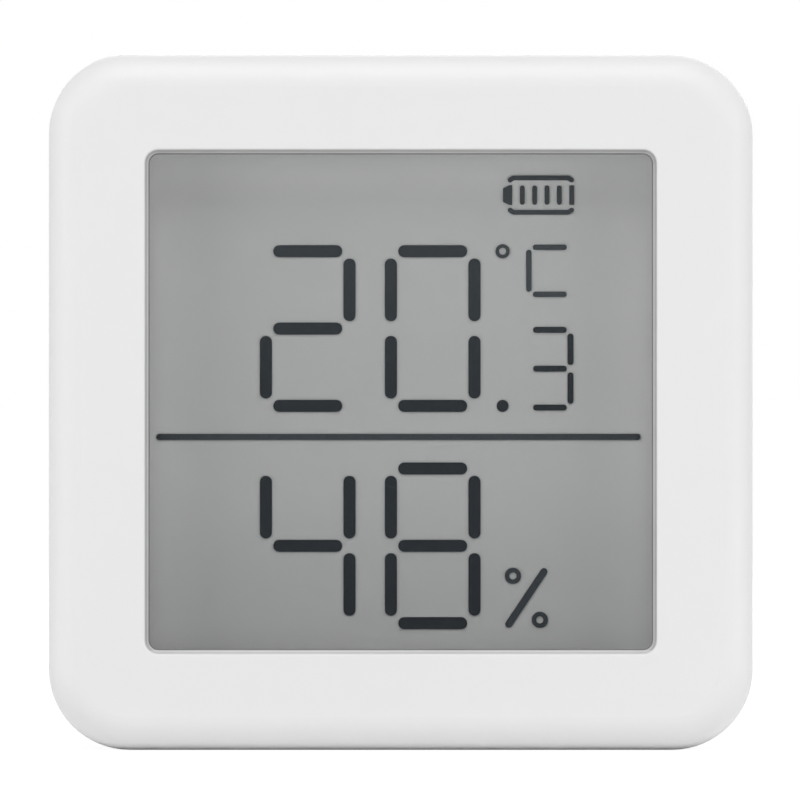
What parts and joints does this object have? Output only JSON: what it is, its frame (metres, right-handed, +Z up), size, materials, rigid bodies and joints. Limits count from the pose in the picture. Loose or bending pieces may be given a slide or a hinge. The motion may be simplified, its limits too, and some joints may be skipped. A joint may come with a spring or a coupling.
{
  "type": "temperature humidity sensor",
  "caption": "Square white desk meter for room temperature and humidity, with a segment display, hinged cell door, fold-out leg and unit button.",
  "frame": {"origin": "on the table, under the middle of the case", "axes": "+X to the viewer's right, +Y from the display face to the back, +Z up"},
  "size_m": [0.055, 0.024, 0.0544],
  "materials": {
    "white_plastic": "fine matt texture",
    "white_button": "satin",
    "black_tape": "matt",
    "clear_window": "clear, glossy",
    "display_film": "clear grey film",
    "display_glass": "clear",
    "seal_glue": "hard glue",
    "display_ink": "dark slate",
    "grey_reflector": "grey, soft sheen",
    "frame_plastic": "moulded",
    "strip_rubber": "striped rubber",
    "board_laminate": "green lacquer",
    "screw_steel": "zinc plated",
    "chip_black": "moulded",
    "tinned_lead": "tin plated",
    "crystal_metal": "metal lid",
    "capacitor_case": "moulded",
    "chip_ceramic": "ceramic with tinned ends",
    "copper_trace": "copper under lacquer",
    "sensor_case": "moulded",
    "grey_foam": "closed-cell foam",
    "switch_case": "moulded",
    "switch_plunger": "moulded",
    "nickel_sheet": "nickel plated",
    "nickel_wire": "nickel plated wire",
    "pin_steel": "ground",
    "magnet": "nickel plated magnet",
    "cell_steel": "nickel plated can",
    "cell_paste": "pressed paste",
    "cell_jacket": "printed sleeve"
  },
  "bodies": {
    "case": {"front_shell": "white_plastic", "back_shell": "white_plastic", "window_tape": "black_tape", "display_window": "clear_window", "front_polariser": "display_film", "front_pane": "display_glass", "rear_pane": "display_glass", "edge_seal": "seal_glue", "temperature_digits": "display_ink", "humidity_digits": "display_ink", "unit_signs": "display_ink", "divider_line": "display_ink", "cell_symbol": "display_ink", "rear_reflector": "grey_reflector", "display_frame": "frame_plastic", "upper_contact_strip": "strip_rubber", "lower_contact_strip": "strip_rubber", "main_board": "board_laminate", "board_screws": "screw_steel", "radio_chip": "chip_black", "driver_chip": "chip_black", "driver_leads": "tinned_lead", "crystals": "crystal_metal", "tank_capacitor": "capacitor_case", "chip_parts": "chip_ceramic", "antenna_trace": "copper_trace", "humidity_sensor": "sensor_case", "sensor_gasket": "grey_foam", "switch_body": "switch_case", "bridge_contact": "nickel_sheet", "plus_contact": "nickel_sheet", "minus_contact": "nickel_sheet", "bridge_spring": "nickel_wire", "minus_spring": "nickel_wire", "leg_pin": "pin_steel", "upper_cell_can": "cell_steel", "upper_cell_core": "cell_paste", "upper_cell_jacket": "cell_jacket", "lower_cell_can": "cell_steel", "lower_cell_core": "cell_paste", "lower_cell_jacket": "cell_jacket"},
    "door": {"cell_door": "white_plastic", "door_pad": "grey_foam"},
    "leg": {"stand_leg": "white_plastic", "leg_magnets": "magnet"},
    "button": {"unit_button": "white_button", "switch_plunger": "switch_plunger"}
  },
  "joints": [
    {"name": "door_hinge", "type": "hinge", "parent": "case", "child": "door", "pos_m": [0, 0.011, 0.02545], "axis": [-1, 0, 0], "range_deg": [0, 95]},
    {"name": "leg_hinge", "type": "hinge", "parent": "case", "child": "leg", "pos_m": [0, 0.0106, 0.0202], "axis": [1, 0, 0], "range_deg": [0, 42]},
    {"name": "button_press", "type": "slide", "parent": "case", "child": "button", "axis": [0, -1, 0], "range_m": [0, 0.0004], "stiffness_N_per_m": 1500}
  ]
}
